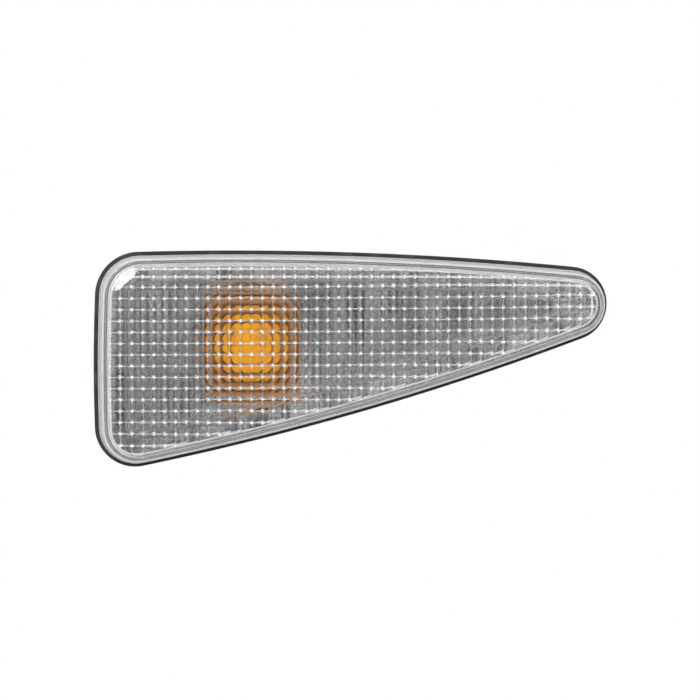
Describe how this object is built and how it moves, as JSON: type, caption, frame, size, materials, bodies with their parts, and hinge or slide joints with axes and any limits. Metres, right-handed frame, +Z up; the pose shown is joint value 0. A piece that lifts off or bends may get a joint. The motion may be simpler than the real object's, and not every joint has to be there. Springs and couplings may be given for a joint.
{
  "type": "vehicle indicator lamp",
  "caption": "Wedge-shaped side indicator lamp with a clear pillow-optic lens, reflector, amber bulb in a twist-lock holder, seal, hook and spring clip.",
  "frame": {"origin": "on the bulb's axis, in the plane of the body panel, which is the seal's back face", "axes": "X along the lamp to its narrow end, +Z up as on the vehicle, -Y out of the vehicle; the seal's back face looks along +Y"},
  "size_m": [0.1139, 0.0422, 0.0475],
  "materials": {
    "clear_lens": "clear moulded acrylic, glossy",
    "black_plastic": "moulded, fine grain",
    "bright_metal": "vacuum metallised plastic",
    "seal_rubber": "matt rubber",
    "spring_steel": "stamped spring steel",
    "grey_plastic": "moulded heat-resistant plastic",
    "holder_seal_rubber": "matt silicone rubber",
    "contact_brass": "tinned spring brass",
    "amber_glass": "amber lacquered glass",
    "filament_wire": "drawn wire"
  },
  "bodies": {
    "lamp": {"lens": "clear_lens", "housing": "black_plastic", "reflector": "bright_metal", "gasket": "seal_rubber", "spring_clip": "spring_steel", "vent_cap": "seal_rubber"},
    "bulb_socket": {"bulb_holder": "grey_plastic", "holder_seal": "holder_seal_rubber", "contact_upper": "contact_brass", "contact_lower": "contact_brass", "bulb_glass": "amber_glass", "bulb_filament": "filament_wire", "bulb_lead_left": "filament_wire", "bulb_lead_right": "filament_wire"}
  },
  "joints": [
    {"name": "holder_twist", "type": "hinge", "parent": "lamp", "child": "bulb_socket", "pos_m": [0, 0.017, 0], "axis": [0, 1, 0], "range_deg": [0, 45]}
  ]
}
